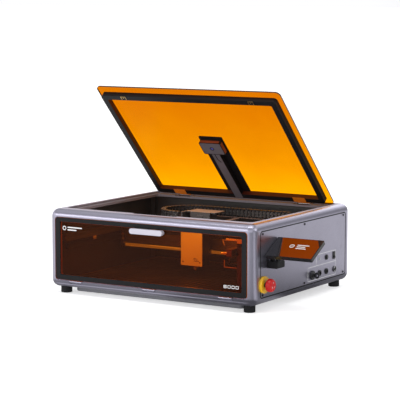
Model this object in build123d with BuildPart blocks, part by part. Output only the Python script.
"""Desktop laser cutter: rounded metal case, tinted lid and door, gantry and laser head.

Units are millimetres. X runs to the right seen from the front, the front faces -Y and Z is up.
The origin is the centre of the footprint on the floor that the feet stand on.
"""
import os
from math import cos, sin, radians

from build123d import *

# ---------------------------------------------------------------- driving dimensions
BODY_W, BODY_D = 567.0, 472.0            # outside width (X) and depth (Y) of the case
FOOT_H, BODY_TOP = 16.0, 204.0           # underside and top of the case
EDGE_R = 19.0                            # rounding of every outside edge of the case
WALL = 3.0                               # case wall
BASE_X, BASE_Y = 238.0, 203.0            # half sizes of the opening in the underside
XH, YH = BODY_W / 2, BODY_D / 2

SEAM = 1.0                               # gap round every inset panel
PANEL_T = 2.0                            # side and rear panel sheet
PANEL_Z = (33.0, 185.0)                  # bottom and top of the side and rear panels
SIDE_Y = (-208.0, 210.0)                 # front and rear ends of the side panels
REAR_X = 261.0                           # half width of the rear panel

LID_W, LID_D, LID_T = 512.0, 403.0, 4.0  # tinted lid sheet
LID_R = 12.0
HINGE_Y, HINGE_Z = 205.5, 199.0          # lid hinge axis
LID_OPEN = 45.4                          # angle of the open lid at rest
LID_FRONT_Y, LID_BOTTOM_Z = -200.0, 200.0
HINGE_X = 173.0                          # lid hinges left and right of the middle
RECESS_X, RECESS_FRONT, RECESS_REAR = 259.0, -203.0, 211.0
LEDGE_Z, LEDGE_T = 199.0, 3.0
MOUTH_X, MOUTH_FRONT, MOUTH_REAR = 247.5, -185.0, 187.5

DOOR_X, DOOR_Z0, DOOR_Z1, DOOR_T = 264.6, 34.8, 185.1, 4.0
DOOR_HINGE_Y, DOOR_HINGE_Z = -233.5, 31.0
DOOR_HINGES_X = (-207.0, 0.0, 207.0)
DOOR_KNUCKLE = 35.0

BAY_X = 206.0                            # inner side of the electronics bay on the right
LINER_X, LINER_Y = -274.0, 206.0         # inner faces of the chamber liner, left and rear
FLOOR_Z = 20.5                           # upper face of the base plate
BED_TOP = 34.5

RAIL_Z = (122.0, 138.0)                  # Y rails
RAIL_W = 15.0
BEAM_X, BEAM_Y, BEAM_Z = (-252.0, 186.0), (42.0, 62.0), (92.0, 118.0)
ROD_Y, ROD_Z, ROD_R = 37.0, 86.5, 4.0    # polished guide rod of the head
FIT = 0.05                               # radial clearance of running fits

HEAD_X = -20.5                           # centre of the laser head
MODULE_W, MODULE_Y, MODULE_Z = 61.0, (-12.0, 22.0), (58.0, 164.0)
PLATE_Z = 184.0                          # top of the carriage plate

CHAIN_X, CHAIN_Y, CHAIN_R = -84.0, 76.0, 63.0
CHAIN_Z, CHAIN_H, CHAIN_T = 163.0, 22.0, 12.0

SHAFT_Y, SHAFT_Z, SHAFT_R = 184.0, 108.0, 3.0
PULLEY_R = 6.37

FAN_X, FAN_Z, FAN_SIZE = -35.0, 91.0, 92.0
COLLAR_R, COLLAR_LEN = 37.5, 20.0

ESTOP_Y, ESTOP_Z = -195.0, 63.5
PORT_ROW_LOW, PORT_ROW_HIGH = 52.6, 86.5

TILT = 29.3                              # slope of the control screen
TILT_Y, TILT_Z = -165.0, 124.0           # its hinge axis
SLAB_W, SLAB_L, SLAB_T = 119.0, 70.5, 10.0
SLAB_X0 = XH + 1.0

os.makedirs("parts", exist_ok=True)


def save(part, name):
    """Label a finished piece and write it as a STEP file."""
    part.label = name
    export_step(part, f"parts/{name}.step")


def yz(x):
    """Plane facing +X at x, with its own x along world Y and its own y along world Z."""
    return Plane(origin=(x, 0, 0), x_dir=(0, 1, 0), z_dir=(1, 0, 0))


def xz(y):
    """Plane facing -Y at y, with its own x along world X and its own y along world Z."""
    return Plane(origin=(0, y, 0), x_dir=(1, 0, 0), z_dir=(0, -1, 0))


def span(low, high):
    """Middle and length of a range."""
    return (low + high) / 2, high - low


def lid_plane(height):
    """Plane parallel to the open lid; height 0 holds the hinge axis, y runs to the rear."""
    a = radians(LID_OPEN)
    return Plane(origin=(0, HINGE_Y, HINGE_Z), x_dir=(1, 0, 0), z_dir=(0, sin(a), cos(a))).offset(height)


def block(x, y, z, mode=Mode.ADD):
    """Box between three (low, high) ranges."""
    (cx, lx), (cy, ly), (cz, lz) = span(*x), span(*y), span(*z)
    with Locations((cx, cy, cz)):
        Box(lx, ly, lz, mode=mode)


def plate(plane, x, y, thickness, radius, mode=Mode.ADD):
    """Rounded rectangular plate raised from a plane, between two ranges in that plane."""
    (cx, lx), (cy, ly) = span(*x), span(*y)
    with BuildSketch(plane) as outline:
        with Locations((cx, cy)):
            RectangleRounded(lx, ly, radius)
    extrude(outline.sketch, amount=thickness, mode=mode)


def disc(plane, x, y, radius, thickness, mode=Mode.ADD):
    """Round bar raised from a plane at one place in it."""
    with BuildSketch(plane) as outline:
        with Locations((x, y)):
            Circle(radius)
    extrude(outline.sketch, amount=thickness, mode=mode)


# ---------------------------------------------------------------- case


def rounded_case(inset):
    """Solid outline of the case moved in by a distance, with every edge rounded."""
    plate(Plane.XY.offset(FOOT_H + inset), (-XH + inset, XH - inset), (-YH + inset, YH - inset),
          BODY_TOP - FOOT_H - 2 * inset, EDGE_R - inset)


with BuildPart() as cavity:
    rounded_case(WALL)
    rims = cavity.edges().group_by(Axis.Z)
    fillet(rims[0] + rims[-1], EDGE_R - WALL - 0.5)

with BuildPart() as housing:
    rounded_case(0)
    rims = housing.edges().group_by(Axis.Z)
    fillet(rims[0] + rims[-1], EDGE_R - 0.5)
    add(cavity.part, mode=Mode.SUBTRACT)
    plate(Plane.XY.offset(10), (-BASE_X, BASE_X), (-BASE_Y, BASE_Y), 15, 10, mode=Mode.SUBTRACT)
    # seat of the lid: a thicker rim with a step all round the mouth
    plate(Plane.XY.offset(LEDGE_Z - LEDGE_T), (-RECESS_X - 3, RECESS_X + 3),
          (RECESS_FRONT - 3, RECESS_REAR + 3), BODY_TOP - 1 - LEDGE_Z + LEDGE_T, 17)
    # door frame and side and rear panel frames behind the wall
    plate(xz(-227.5), (-271, 271), (24, 191), 6.5, 12)
    for side in (-1, 1):
        plate(yz(side * 278.3), (SIDE_Y[0] - 4, SIDE_Y[1] + 4), (29, 189), side * 3.2, 12)
    plate(xz(234.5), (-REAR_X - 5, REAR_X + 5), (29, 189), 3.7, 12)
    # recess and mouth of the lid
    plate(Plane.XY.offset(LEDGE_Z), (-RECESS_X, RECESS_X), (RECESS_FRONT, RECESS_REAR), 20, 14,
          mode=Mode.SUBTRACT)
    plate(Plane.XY.offset(190), (-MOUTH_X, MOUTH_X), (MOUTH_FRONT, MOUTH_REAR), 20, 10,
          mode=Mode.SUBTRACT)
    # finger scoop in the front rim
    block((-60, 60), (-212, -202), (LEDGE_Z, BODY_TOP + 5), mode=Mode.SUBTRACT)
    # turned-down lip of the mouth
    with BuildSketch(Plane.XY.offset(193)):
        with Locations((0, (MOUTH_FRONT + MOUTH_REAR) / 2)):
            RectangleRounded(2 * MOUTH_X + 4, MOUTH_REAR - MOUTH_FRONT + 4, 12)
            RectangleRounded(2 * MOUTH_X, MOUTH_REAR - MOUTH_FRONT, 10, mode=Mode.SUBTRACT)
    extrude(amount=4)
    # notches for the lid hinges
    for side in (-1, 1):
        block((side * HINGE_X - 24, side * HINGE_X + 24), (197, 211), (194.5, 206),
              mode=Mode.SUBTRACT)
        block((side * HINGE_X - 24, side * HINGE_X + 24), (186, 199), (197.6, 206),
              mode=Mode.SUBTRACT)
    # door pocket, door opening and the notches for the door hinges
    plate(xz(-231), (-DOOR_X - 1.5, DOOR_X + 1.5), (DOOR_Z0 - 1.6, DOOR_Z1 + 1.4), 12, 9,
          mode=Mode.SUBTRACT)
    plate(xz(-220), (-251, 251), (46.5, 173.5), 20, 5, mode=Mode.SUBTRACT)
    for hx in DOOR_HINGES_X:
        block((hx - DOOR_KNUCKLE / 2 - 1, hx + DOOR_KNUCKLE / 2 + 1.5), (-245, -229.3), (26.5, 47),
              mode=Mode.SUBTRACT)
    # pockets and openings of the side panels
    for side in (-1, 1):
        plate(yz(side * 281.4), (SIDE_Y[0] - SEAM, SIDE_Y[1] + SEAM),
              (PANEL_Z[0] - SEAM, PANEL_Z[1] + SEAM), side * 5, 8, mode=Mode.SUBTRACT)
        plate(yz(side * 270), (-198, 200), (42, 174), side * 20, 8, mode=Mode.SUBTRACT)
    disc(yz(270), ESTOP_Y, ESTOP_Z, 11.6, 20, mode=Mode.SUBTRACT)
    # pocket and opening of the rear panel
    plate(xz(240), (-REAR_X - SEAM, REAR_X + SEAM), (PANEL_Z[0] - SEAM, PANEL_Z[1] + SEAM), 6.1, 8,
          mode=Mode.SUBTRACT)
    plate(xz(240), (-251, 251), (44, 174), 20, 8, mode=Mode.SUBTRACT)
save(housing.part, "housing")

SCREWS_SIDE = [(y, z) for y in (-197.5, 0.0, 197.5) for z in (39.5, 179.0)]
SCREWS_REAR = [(x, z) for x in (-252.0, 0.0, 252.0) for z in (39.5, 179.0)]
SCREW_R, SCREW_HEAD_R = 1.5, 2.6

with BuildPart() as side_panel_right:
    plate(yz(281.4), SIDE_Y, PANEL_Z, PANEL_T, 7)
    for y, z in SCREWS_SIDE:
        disc(yz(280), y, z, SCREW_R, 6, mode=Mode.SUBTRACT)
    disc(yz(280), ESTOP_Y, ESTOP_Z, 11.4, 6, mode=Mode.SUBTRACT)
    disc(yz(280), 39.0, PORT_ROW_LOW, 9.2, 6, mode=Mode.SUBTRACT)
    for y in (76.0, 110.5, 152.0):
        disc(yz(280), y, PORT_ROW_LOW, 6.2, 6, mode=Mode.SUBTRACT)
    disc(yz(280), 75.6, PORT_ROW_HIGH, 2.6, 6, mode=Mode.SUBTRACT)
    disc(yz(280), 111.0, PORT_ROW_HIGH, 5.2, 6, mode=Mode.SUBTRACT)
    block((279, 285), (145.2, 153.8), (79.2, 93.8), mode=Mode.SUBTRACT)
save(side_panel_right.part, "side_panel_right")

with BuildPart() as side_panel_left:
    plate(yz(-283.4), SIDE_Y, PANEL_Z, PANEL_T, 7)
    for y, z in SCREWS_SIDE:
        disc(yz(-285), y, z, SCREW_R, 6, mode=Mode.SUBTRACT)
    # two groups of cooling slots
    with BuildSketch(yz(-284)):
        for y0 in (-130, 130):
            with Locations((y0, 70)):
                with GridLocations(9, 0, 7, 1):
                    SlotOverall(34, 3, rotation=90)
    extrude(amount=4, mode=Mode.SUBTRACT)
save(side_panel_left.part, "side_panel_left")

with BuildPart() as rear_panel:
    plate(xz(235.9), (-REAR_X, REAR_X), PANEL_Z, PANEL_T, 7)
    for x, z in SCREWS_REAR:
        disc(xz(238), x, z, SCREW_R, 6, mode=Mode.SUBTRACT)
    disc(xz(238), FAN_X, FAN_Z, COLLAR_R - 2.5, 6, mode=Mode.SUBTRACT)
save(rear_panel.part, "rear_panel")

PLATE_Z0 = FOOT_H + WALL                  # the base plate lies on the floor of the case
with BuildPart() as base_plate:
    plate(Plane.XY.offset(PLATE_Z0), (-BASE_X - 20, BASE_X + 20), (-BASE_Y - 5, BASE_Y + 5),
          FLOOR_Z - PLATE_Z0, 9)
save(base_plate.part, "base_plate")

with BuildPart() as bottom_pan:
    plate(Plane.XY.offset(3.5), (-233, 233), (-200, 200), PLATE_Z0 - 3.5, 10)
    fillet(bottom_pan.edges().group_by(Axis.Z)[0], 3)
    plate(Plane.XY.offset(5), (-231.5, 231.5), (-198.5, 198.5), 20, 8.5, mode=Mode.SUBTRACT)
save(bottom_pan.part, "bottom_pan")

with BuildPart() as rubber_feet:
    with Locations(*[(sx * 254.6, sy * 206.0, FOOT_H / 2) for sx in (-1, 1) for sy in (-1, 1)]):
        Cylinder(13.5, FOOT_H)
    fillet(rubber_feet.edges().group_by(Axis.Z)[0], 1.5)
save(rubber_feet.part, "rubber_feet")

with BuildPart() as panel_screws:
    for side in (-1, 1):
        for y, z in SCREWS_SIDE:
            disc(yz(side * 281.4), y, z, SCREW_R - 0.02, side * 2.2)
            disc(yz(side * 283.4), y, z, SCREW_HEAD_R, side * 1.2)
    for x, z in SCREWS_REAR:
        disc(xz(236.1), x, z, SCREW_R - 0.02, 2.2)
        disc(xz(237.1), x, z, SCREW_HEAD_R, 1.2)
    heads = panel_screws.faces().filter_by(lambda f: abs(f.area - 3.14159 * SCREW_HEAD_R**2) < 0.2)
    for head in heads:
        with BuildSketch(Plane(head)):
            RegularPolygon(1.3, 6)
        extrude(amount=-0.7, mode=Mode.SUBTRACT)
save(panel_screws.part, "panel_screws")

# ---------------------------------------------------------------- bed, liner and electronics bay
with BuildPart() as slat_bed:
    block((-252, 202), (-196, 196), (FLOOR_Z, BED_TOP))
    block((-244, 194), (-188, 188), (FLOOR_Z - 1, BED_TOP + 1), mode=Mode.SUBTRACT)
    with Locations((-25, 0, FLOOR_Z + 7)):
        with GridLocations(17, 0, 25, 1):
            Box(1.6, 378, BED_TOP - FLOOR_Z - 0.5)
save(slat_bed.part, "slat_bed")

with BuildPart() as chamber_liner:
    block((LINER_X - 1.5, LINER_X), (-222, LINER_Y + 1.5), (24, 192))
    block((LINER_X - 1.5, BAY_X), (LINER_Y, LINER_Y + 1.5), (24, 192))
    # stiffening posts in the rear left corner
    for y0 in (194, 202):
        block((LINER_X, LINER_X + 12), (y0, y0 + 4), (24, 192))
    disc(xz(210), FAN_X, FAN_Z, 44, 6, mode=Mode.SUBTRACT)
save(chamber_liner.part, "chamber_liner")

with BuildPart() as electronics_bay:
    block((BAY_X, 276.5), (-180, 207.5), (26, 152))
    block((BAY_X + 1.5, 280), (-178.5, 206), (20, 150.5), mode=Mode.SUBTRACT)
    # row of cooling slots along the top of the front face
    with BuildSketch(xz(-172)):
        with Locations((222, 143.5)):
            with GridLocations(3.6, 0, 8, 1):
                SlotOverall(11, 1.9, rotation=90)
    extrude(amount=12, mode=Mode.SUBTRACT)
save(electronics_bay.part, "electronics_bay")

with BuildPart() as control_electronics:
    # switched supply, control board on its standoffs, and tall components
    block((222, 264), (-150, -20), (FLOOR_Z, 92))
    block((210, 212), (-10, 140), (30, 140))
    for y in (0, 130):
        for z in (36, 134):
            disc(yz(BAY_X + 1.5), y, z, 2.5, 2.5)
    for y, z, h in ((20, 110, 12), (45, 118, 9), (75, 112, 14), (105, 116, 9), (0, 60, 6)):
        block((212, 212 + h), (y - 8, y + 8), (z - 8, z + 8))
save(control_electronics.part, "control_electronics")

# ---------------------------------------------------------------- Y rails and drive


def y_rail(outer, inward):
    """Y rail against a wall at x = outer; inward is +1 when the chamber lies on its +X side."""
    inner = outer + inward * RAIL_W
    block(sorted((outer, inner)), (-205, 193), RAIL_Z)
    block(sorted((inner, inner - inward * 3)), (-206, 194), (127.5, 132.5), mode=Mode.SUBTRACT)
    # bearing block of the drive shaft and its bore
    block(sorted((outer, outer + inward * 6)), (172, 193), (SHAFT_Z - 10, RAIL_Z[0]))
    disc(yz(outer + inward * 1), SHAFT_Y, SHAFT_Z, SHAFT_R + FIT, inward * 8, mode=Mode.SUBTRACT)


with BuildPart() as y_rail_left:
    y_rail(LINER_X + 2, 1)
    block((LINER_X, LINER_X + 2.1), (-205, 193), (RAIL_Z[0] + 2, RAIL_Z[1] - 2))
save(y_rail_left.part, "y_rail_left")

with BuildPart() as y_rail_right:
    y_rail(BAY_X, -1)
save(y_rail_right.part, "y_rail_right")

PULLEYS_X = (LINER_X + 9.5, BAY_X - 15.5)      # low side of each 6 mm wide pulley
BELT_FRONT_Y = -188.0

with BuildPart() as y_belts:
    for x0 in PULLEYS_X:
        with BuildSketch(yz(x0)):
            with Locations(((SHAFT_Y + BELT_FRONT_Y) / 2, SHAFT_Z)):
                SlotCenterToCenter(SHAFT_Y - BELT_FRONT_Y, 2 * (PULLEY_R + 1.5))
                SlotCenterToCenter(SHAFT_Y - BELT_FRONT_Y, 2 * (PULLEY_R + 0.3), mode=Mode.SUBTRACT)
        extrude(amount=6)
save(y_belts.part, "y_belts")

MOTOR_X = 95.0
with BuildPart() as y_motor:
    block((MOTOR_X, MOTOR_X + 38), (SHAFT_Y - 21, SHAFT_Y + 21), (SHAFT_Z - 21, SHAFT_Z + 21))
    chamfer(y_motor.edges().filter_by(Axis.X), 4)
    disc(yz(MOTOR_X - 2), SHAFT_Y, SHAFT_Z, 11, 42)
    disc(yz(MOTOR_X - 5), SHAFT_Y, SHAFT_Z, SHAFT_R + FIT, 60, mode=Mode.SUBTRACT)
    # foot bolted to the rear liner
    block((MOTOR_X - 8, MOTOR_X + 46), (LINER_Y - 3, LINER_Y), (SHAFT_Z - 26, SHAFT_Z + 26))
save(y_motor.part, "y_motor")

with BuildPart() as y_drive_shaft:
    disc(yz(LINER_X + 3.5), SHAFT_Y, SHAFT_Z, SHAFT_R, BAY_X - LINER_X - 5)
    for x0 in PULLEYS_X:
        disc(yz(x0), SHAFT_Y, SHAFT_Z, PULLEY_R, 6)
    disc(yz(40), SHAFT_Y, SHAFT_Z, 9, 24)
save(y_drive_shaft.part, "y_drive_shaft")

# ---------------------------------------------------------------- exhaust
FAN_R = 43.5
with BuildPart() as exhaust_frame:
    plate(xz(233.8), (FAN_X - 46, FAN_X + 46), (FAN_Z - 46, FAN_Z + 46), 25.5, 6)
    disc(xz(240), FAN_X, FAN_Z, FAN_R + 1, 40, mode=Mode.SUBTRACT)
    for angle in (0, 90):
        with BuildSketch(xz(233.8)):
            with Locations((FAN_X, FAN_Z)):
                Rectangle(2 * FAN_R + 3, 4, rotation=angle + 45)
        extrude(amount=3)
    disc(xz(233.8), FAN_X, FAN_Z, 17, 3)
save(exhaust_frame.part, "exhaust_frame")

with BuildPart() as exhaust_rotor:
    disc(xz(230.3), FAN_X, FAN_Z, 17, 18)
    with BuildSketch(xz(229.5)):
        with Locations((FAN_X, FAN_Z)):
            with PolarLocations(28.5, 7):
                Rectangle(26, 9, rotation=18)
    extrude(amount=14)
save(exhaust_rotor.part, "exhaust_rotor")

with BuildPart() as exhaust_grille:
    plate(xz(LINER_Y), (FAN_X - 50, FAN_X + 32), (43, 137), 2.5, 5)
    with BuildSketch(xz(LINER_Y)):
        with Locations((FAN_X - 9, 90)):
            with GridLocations(5, 28, 14, 3):
                SlotOverall(23, 2.6, rotation=90)
    extrude(amount=4, mode=Mode.SUBTRACT)
save(exhaust_grille.part, "exhaust_grille")

with BuildPart() as exhaust_collar:
    disc(xz(YH + COLLAR_LEN + 2), FAN_X, FAN_Z, COLLAR_R, COLLAR_LEN)
    disc(xz(YH + 2), FAN_X, FAN_Z, COLLAR_R + 9, 2.1)
    disc(xz(YH + COLLAR_LEN + 4), FAN_X, FAN_Z, COLLAR_R - 2.2, 40, mode=Mode.SUBTRACT)
save(exhaust_collar.part, "exhaust_collar")

with BuildPart() as led_strip:
    block((-200, 200), (-199, -190), (192.8, LEDGE_Z - LEDGE_T))
save(led_strip.part, "led_strip")

# ---------------------------------------------------------------- lid and its hinges
LID_Y = (LID_FRONT_Y - HINGE_Y, LID_FRONT_Y + LID_D - HINGE_Y)     # in the lid plane
LID_Z = LID_BOTTOM_Z - HINGE_Z
BARREL_R, PIN_R = 2.4, 1.2
SKIRT_X, SKIRT_FRONT, SKIRT_REAR, SKIRT_W, SKIRT_H = 243.5, -182.5, 185.0, 14.0, 13.0

with BuildPart() as lid_hinge_knuckles:
    for side in (-1, 1):
        for ear in (-1, 1):
            x0 = side * HINGE_X + ear * 20.75
            block((x0 - 2.75, x0 + 2.75), (198, 211), (LEDGE_Z - LEDGE_T - 1.5, HINGE_Z))
            disc(yz(x0 - 2.75), HINGE_Y, HINGE_Z, BARREL_R, 5.5)
        disc(yz(side * HINGE_X - 22), HINGE_Y, HINGE_Z, PIN_R, 44)
save(lid_hinge_knuckles.part, "lid_hinge_knuckles")

with BuildPart() as lid_hinge_leaves:
    for side in (-1, 1):
        x0 = side * HINGE_X
        disc(yz(x0 - 17), HINGE_Y, HINGE_Z, BARREL_R, 34)
        plate(lid_plane(LID_Z - 1.8), (x0 - 17, x0 + 17), (-26, 0), 1.8, 0.5)
    for side in (-1, 1):
        disc(yz(side * HINGE_X - 18), HINGE_Y, HINGE_Z, PIN_R + FIT, 36, mode=Mode.SUBTRACT)
save(lid_hinge_leaves.part, "lid_hinge_leaves")

with BuildPart() as lid_panel:
    plate(lid_plane(LID_Z), (-LID_W / 2, LID_W / 2), LID_Y, LID_T, LID_R)
    fillet(lid_panel.faces().sort_by(Axis((0, 0, 0), (0, 1, 1)))[-1].edges(), 0.6)
save(lid_panel.part, "lid_panel")

with BuildPart() as lid_skirt:
    front, rear = SKIRT_FRONT - HINGE_Y, SKIRT_REAR - HINGE_Y
    plate(lid_plane(LID_Z - SKIRT_H), (-SKIRT_X, SKIRT_X), (front, rear), SKIRT_H, 8)
    plate(lid_plane(LID_Z - SKIRT_H - 1), (-SKIRT_X + SKIRT_W, SKIRT_X - SKIRT_W),
          (front + SKIRT_W, rear - SKIRT_W), SKIRT_H + 2, 4, mode=Mode.SUBTRACT)
    for side in (-1, 1):
        plate(lid_plane(LID_Z - 2), (side * HINGE_X - 18, side * HINGE_X + 18), (-40, 0), 4, 0.5,
              mode=Mode.SUBTRACT)
save(lid_skirt.part, "lid_skirt")

with BuildPart() as lid_catch_plates:
    for side in (-1, 1):
        x0 = side * 178.0
        plate(lid_plane(LID_Z - SKIRT_H - 1.2), (x0 - 7, x0 + 7), (front + 1, front + 11), 1.2, 1.5)
save(lid_catch_plates.part, "lid_catch_plates")

# the arm stands on a flat base under the lid, and its end laps over the rear bar of the skirt
ARM_X, ARM_BASE_X, ARM_BASE_T, ARM_T = 12.0, 33.0, 2.0, 13.4
ARM_Y = (17.5 - HINGE_Y, 185.0 - HINGE_Y)
ARM_STEP_Y = SKIRT_REAR - SKIRT_W - HINGE_Y
CAM_X, CAM_T = 30.5, 14.7
CAM_Y = (-25.0 - HINGE_Y, 17.5 - HINGE_Y)
with BuildPart() as camera_arm:
    plate(lid_plane(LID_Z - ARM_BASE_T), (-ARM_BASE_X, ARM_BASE_X), (CAM_Y[0] - 8, ARM_STEP_Y - 0.2),
          ARM_BASE_T, 3)
    plate(lid_plane(LID_Z - ARM_T), (-ARM_X, ARM_X), (ARM_Y[0], ARM_STEP_Y - 0.2),
          ARM_T - ARM_BASE_T + 0.1, 0.5)
    plate(lid_plane(LID_Z - ARM_T), (-ARM_X, ARM_X), (ARM_STEP_Y - 6, ARM_Y[1]), ARM_T - SKIRT_H, 0.15)
save(camera_arm.part, "camera_arm")

with BuildPart() as camera_head:
    plate(lid_plane(LID_Z - CAM_T), (-CAM_X, CAM_X), CAM_Y, CAM_T - ARM_BASE_T, 4)
    disc(lid_plane(LID_Z - CAM_T - 1), 0, sum(CAM_Y) / 2, 6.5, 3, mode=Mode.SUBTRACT)
save(camera_head.part, "camera_head")

with BuildPart() as camera_lens:
    disc(lid_plane(LID_Z - CAM_T), 0, sum(CAM_Y) / 2, 6.4, 2)
    disc(lid_plane(LID_Z - CAM_T), 0, sum(CAM_Y) / 2, 3.5, 0.8, mode=Mode.SUBTRACT)
save(camera_lens.part, "camera_lens")

# ---------------------------------------------------------------- front door
with BuildPart() as door_panel:
    plate(xz(-YH + DOOR_T), (-DOOR_X, DOOR_X), (DOOR_Z0, DOOR_Z1), DOOR_T, 8)
save(door_panel.part, "door_panel")

with BuildPart() as door_handle:
    plate(xz(-YH), (-44.7, 44.7), (162.3, 173.7), 8.1, 5.6)
    plate(xz(-YH - 8), (-45.5, 45.5), (161.5, 174.5), 4, 6.4)
    fillet(door_handle.faces().sort_by(Axis.Y)[0].edges(), 1.5)
save(door_handle.part, "door_handle")

DOOR_BARREL_R = 2.9
with BuildPart() as door_hinge_leaves:
    for hx in DOOR_HINGES_X:
        x0 = hx - DOOR_KNUCKLE / 2
        disc(yz(x0), DOOR_HINGE_Y, DOOR_HINGE_Z, DOOR_BARREL_R, DOOR_KNUCKLE)
        block((x0, x0 + DOOR_KNUCKLE), (-232, -230.4), (DOOR_HINGE_Z, 45))
    for hx in DOOR_HINGES_X:
        disc(yz(hx - 20), DOOR_HINGE_Y, DOOR_HINGE_Z, PIN_R + FIT, 40, mode=Mode.SUBTRACT)
save(door_hinge_leaves.part, "door_hinge_leaves")

with BuildPart() as door_hinge_pins:
    for hx in DOOR_HINGES_X:
        disc(yz(hx - 21), DOOR_HINGE_Y, DOOR_HINGE_Z, PIN_R, 42.5)
save(door_hinge_pins.part, "door_hinge_pins")

# ---------------------------------------------------------------- gantry
with BuildPart() as gantry_beam:
    block(BEAM_X, BEAM_Y, BEAM_Z)
    for y in BEAM_Y:
        with BuildSketch(yz(BEAM_X[0])):
            with Locations((y, sum(BEAM_Z) / 2)):
                Rectangle(5, 7)
        extrude(amount=BEAM_X[1] - BEAM_X[0], mode=Mode.SUBTRACT)
save(gantry_beam.part, "gantry_beam")

with BuildPart() as x_rail:
    disc(yz(BEAM_X[0] + 0.5), ROD_Y, ROD_Z, ROD_R, BEAM_X[1] - BEAM_X[0] - 1)
save(x_rail.part, "x_rail")

with BuildPart() as gantry_end_plates:
    for end, out in zip(BEAM_X, (-1, 1)):
        block(sorted((end, end + out * 4.2)), (28, 80), (78, 138.6))
        # shoe that slides on the rail, and the boss that holds the guide rod
        block(sorted((end, end + out * 19)), (28, 80), (RAIL_Z[1] + 0.4, RAIL_Z[1] + 10))
        block(sorted((end, end - out * 6)), (30, 41.5), (80, 91.5))
    disc(yz(BEAM_X[0] + 0.4), ROD_Y, ROD_Z, ROD_R + 0.02, BEAM_X[1] - BEAM_X[0] - 0.8,
         mode=Mode.SUBTRACT)
save(gantry_end_plates.part, "gantry_end_plates")

with BuildPart() as x_motor:
    block((150, 178), (66, 94), (90, 118))
    chamfer(x_motor.edges().filter_by(Axis.X), 3)
    block((146, BEAM_X[1]), (BEAM_Y[1], 66.1), (88, 118))
save(x_motor.part, "x_motor")

with BuildPart() as x_belt:
    block((BEAM_X[0] + 2, BEAM_X[1] - 2), (49, 55), (BEAM_Z[1], BEAM_Z[1] + 1.4))
save(x_belt.part, "x_belt")

with BuildPart() as chain_tray:
    block((-150, 182), (126, 150), (CHAIN_Z - 1.7, CHAIN_Z - 0.2))
    for x0 in (-140, 20, 150):
        block((x0, x0 + 14), (BEAM_Y[1], BEAM_Y[1] + 2), (112 if x0 < 150 else 121, CHAIN_Z - 0.2))
        block((x0, x0 + 14), (BEAM_Y[1], 130), (CHAIN_Z - 3.2, CHAIN_Z - 1.7))
save(chain_tray.part, "chain_tray")

CHAIN_END_X = 168.0
with BuildPart() as drag_chain:
    with BuildSketch(Plane.XY.offset(CHAIN_Z)):
        with BuildLine():
            start = (HEAD_X - 45.5 - CHAIN_T / 2, CHAIN_Y - CHAIN_R)
            turn_in = (CHAIN_X, CHAIN_Y - CHAIN_R)
            turn_out = (CHAIN_X, CHAIN_Y + CHAIN_R)
            Line(start, turn_in)
            ThreePointArc(turn_in, (CHAIN_X - CHAIN_R, CHAIN_Y), turn_out)
            Line(turn_out, (CHAIN_END_X, CHAIN_Y + CHAIN_R))
            offset(amount=CHAIN_T / 2, side=Side.BOTH)
        make_face()
    extrude(amount=CHAIN_H)
save(drag_chain.part, "drag_chain")

# ---------------------------------------------------------------- head carriage and laser module
with BuildPart() as head_carriage:
    block((HEAD_X - 28, HEAD_X + 28), (26, 30), (78, PLATE_Z))
    for x0 in (HEAD_X - 28, HEAD_X + 12):
        block((x0, x0 + 16), (30, 43), (80, 91.2))
    disc(yz(HEAD_X - 40), ROD_Y, ROD_Z, ROD_R + FIT, 80, mode=Mode.SUBTRACT)
    block((HEAD_X - 28, HEAD_X + 28), (30, 60), (120.2, 128))
    block((HEAD_X - 41, HEAD_X + 41), (30, 78), (PLATE_Z - 3, PLATE_Z))
    for x0 in (HEAD_X - 28, HEAD_X + 25):
        block((x0, x0 + 3), (30, 60), (128, PLATE_Z - 3))
    # arm that carries the end of the cable chain
    block((HEAD_X - 45, HEAD_X - 41), (10, 44), (CHAIN_Z + 2, PLATE_Z))
    # slide of the focus drive
    block((HEAD_X - 8, HEAD_X + 8), (24.3, 26.1), (90, 176))
save(head_carriage.part, "head_carriage")

with BuildPart() as module_cover:
    block((HEAD_X - MODULE_W / 2, HEAD_X + MODULE_W / 2), MODULE_Y, MODULE_Z)
    fillet(module_cover.edges().filter_by(Axis.Z), 3)
    block((HEAD_X - MODULE_W / 2 + 2, HEAD_X + MODULE_W / 2 - 2), (-10, 22.5),
          (MODULE_Z[0] + 2, MODULE_Z[1] - 8), mode=Mode.SUBTRACT)
    disc(Plane.XY.offset(MODULE_Z[1] - 12), HEAD_X, 5, 14.5, 20, mode=Mode.SUBTRACT)
    disc(Plane.XY.offset(MODULE_Z[0] - 5), HEAD_X, 5, 9, 12, mode=Mode.SUBTRACT)
save(module_cover.part, "module_cover")

with BuildPart() as module_heatsink:
    block((HEAD_X - 27, HEAD_X + 27), (-4, 22), (MODULE_Z[0] + 4, 138))
    with BuildSketch(Plane.XY.offset(60)):
        with Locations((HEAD_X, -4)):
            with GridLocations(6, 0, 8, 1):
                Rectangle(3, 20)
    extrude(amount=100, mode=Mode.SUBTRACT)
    # shoe of the focus slide, open at the back
    block((HEAD_X - 14, HEAD_X + 14), (20, 25.6), (66, 150))
    block((HEAD_X - 8.4, HEAD_X + 8.4), (23.9, 30), (60, 180), mode=Mode.SUBTRACT)
save(module_heatsink.part, "module_heatsink")

with BuildPart() as module_nozzle:
    with BuildSketch(Plane.XZ.offset(-5)):
        with BuildLine():
            Polyline((HEAD_X, 44), (HEAD_X + 3.5, 44), (HEAD_X + 8.6, 52), (HEAD_X + 8.6, 62),
                     (HEAD_X, 62), close=True)
        make_face()
    revolve(axis=Axis((HEAD_X, 5, 0), (0, 0, 1)))
    disc(Plane.XY.offset(40), HEAD_X, 5, 1.5, 10, mode=Mode.SUBTRACT)
save(module_nozzle.part, "module_nozzle")

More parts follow.
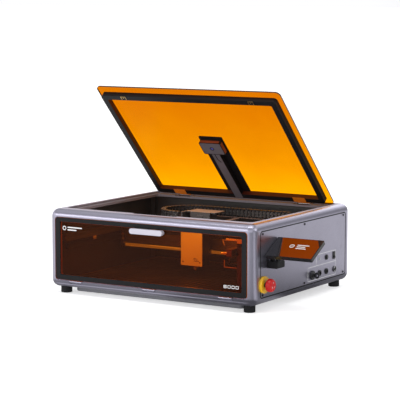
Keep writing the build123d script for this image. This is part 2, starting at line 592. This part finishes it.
with BuildPart() as head_fan_rotor:
    disc(Plane.XY.offset(154), HEAD_X, 5, 5.5, 8)
    with BuildSketch(Plane.XY.offset(155)):
        with Locations((HEAD_X, 5)):
            with PolarLocations(9, 9):
                Rectangle(9, 2.4, rotation=25)
    extrude(amount=6)
save(head_fan_rotor.part, "head_fan_rotor")

# ---------------------------------------------------------------- controls on the right side
OUT = 283.4                              # outside face of the right panel
with BuildPart() as estop_base:
    disc(yz(XH), ESTOP_Y, ESTOP_Z, 19.5, 6)
    fillet(estop_base.faces().sort_by(Axis.X)[-1].edges(), 1.5)
    disc(yz(262), ESTOP_Y, ESTOP_Z, 11, XH - 262)
    disc(yz(280), ESTOP_Y, ESTOP_Z, 6.4, 20, mode=Mode.SUBTRACT)
save(estop_base.part, "estop_base")

with BuildPart() as estop_stem:
    disc(yz(286), ESTOP_Y, ESTOP_Z, 6, 10)
    disc(yz(294), ESTOP_Y, ESTOP_Z, 8, 2)
save(estop_stem.part, "estop_stem")

with BuildPart() as estop_cap:
    disc(yz(296.4), ESTOP_Y, ESTOP_Z, 15.2, 14.6)
    fillet(estop_cap.faces().sort_by(Axis.X)[-1].edges(), 5)
    fillet(estop_cap.faces().sort_by(Axis.X)[0].edges(), 2)
save(estop_cap.part, "estop_cap")

with BuildPart() as key_switch:
    disc(yz(OUT), 39.0, PORT_ROW_LOW, 11, 3.5)
    fillet(key_switch.faces().sort_by(Axis.X)[-1].edges(), 1)
    disc(yz(258), 39.0, PORT_ROW_LOW, 9, OUT - 258)
    disc(yz(270), 39.0, PORT_ROW_LOW, 6.05, 20, mode=Mode.SUBTRACT)
save(key_switch.part, "key_switch")

with BuildPart() as switch_key:
    disc(yz(271), 39.0, PORT_ROW_LOW, 6, 17.2)
    block((288, 296), (38, 40), (PORT_ROW_LOW - 4, PORT_ROW_LOW + 4))
    plate(Plane.XZ.offset(-38), (295, 312), (PORT_ROW_LOW - 9, PORT_ROW_LOW + 9), -2, 6)
save(switch_key.part, "switch_key")

with BuildPart() as switch_bezels:
    block((OUT, OUT + 1.6), (144.5, 154.5), (77.5, 95.5))
    block((266, OUT), (145.4, 153.6), (79.4, 93.6))
    block((268, OUT + 5), (146.4, 152.6), (80.4, 92.6), mode=Mode.SUBTRACT)
    disc(yz(OUT), 111.0, PORT_ROW_HIGH, 6.6, 1.6)
    disc(yz(270), 111.0, PORT_ROW_HIGH, 5, OUT - 270)
    disc(yz(272), 111.0, PORT_ROW_HIGH, 4.08, 20, mode=Mode.SUBTRACT)
save(switch_bezels.part, "switch_bezels")

ROCKER_Z = (80.4 + 92.6) / 2
with BuildPart() as power_rocker:
    with BuildSketch(Plane.XZ.offset(-146.8)):
        with BuildLine():
            Polyline((280.6, ROCKER_Z - 3), (284.6, ROCKER_Z - 5.3), (287.6, ROCKER_Z - 5.2),
                     (285.2, ROCKER_Z), (284.9, ROCKER_Z + 5.3), (280.6, ROCKER_Z + 3), close=True)
        make_face()
    extrude(amount=-5.4)
save(power_rocker.part, "power_rocker")

with BuildPart() as push_button:
    disc(yz(276), 111.0, PORT_ROW_HIGH, 4, OUT + 3.6 - 276)
    fillet(push_button.faces().sort_by(Axis.X)[-1].edges(), 0.8)
save(push_button.part, "push_button")

with BuildPart() as indicator_lamp:
    disc(yz(OUT), 75.6, PORT_ROW_HIGH, 3.4, 1)
    disc(yz(274), 75.6, PORT_ROW_HIGH, 2.5, OUT - 274)
save(indicator_lamp.part, "indicator_lamp")

JACK_R, JACK_BORE = 7.0, 4.0
with BuildPart() as connector_jacks:
    for y in (76.0, 110.5, 152.0):
        disc(yz(OUT), y, PORT_ROW_LOW, JACK_R, 2)
        disc(yz(264), y, PORT_ROW_LOW, 6, OUT - 264)
        disc(yz(273), y, PORT_ROW_LOW, JACK_BORE, 20, mode=Mode.SUBTRACT)
save(connector_jacks.part, "connector_jacks")

# ---------------------------------------------------------------- tilting control screen
with BuildPart() as display_bracket:
    block((XH, 311), (-178, -145), (99, 115))
    fillet(display_bracket.edges().filter_by(Axis.Y).sort_by(Axis.X)[-2:], 3)
    for x0 in (288, 303):
        block((x0, x0 + 5), (TILT_Y - 6, TILT_Y + 6), (112, TILT_Z))
        disc(yz(x0), TILT_Y, TILT_Z, 6, 5)
    disc(yz(286), TILT_Y, TILT_Z, 2, 24)
    disc(yz(308), TILT_Y, TILT_Z, 5, 6)
save(display_bracket.part, "display_bracket")

t = radians(TILT)
SLAB_MID = (0, -159.3, 147.2)
slab = Plane(origin=SLAB_MID, x_dir=(1, 0, 0), z_dir=(0, -sin(t), cos(t)))
with BuildPart() as display_slab:
    plate(slab.offset(-SLAB_T), (SLAB_X0, SLAB_X0 + SLAB_W), (-SLAB_L / 2, SLAB_L / 2), SLAB_T, 2)
    chamfer(display_slab.faces().sort_by(Axis(SLAB_MID, slab.z_dir))[0].edges(), 1.5)
    # hinge lug between the ears of the bracket
    lug = Plane(origin=(293.5, 0, 0), x_dir=(0, 1, 0), z_dir=(1, 0, 0))
    disc(lug, TILT_Y, TILT_Z, 5.5, 9)
    with BuildSketch(lug):
        with Locations((TILT_Y - 4.2 * sin(t), TILT_Z + 4.2 * cos(t))):
            Rectangle(10, 8.4, rotation=TILT)
    extrude(amount=9)
    disc(yz(290), TILT_Y, TILT_Z, 2 + FIT, 16, mode=Mode.SUBTRACT)
save(display_slab.part, "display_slab")
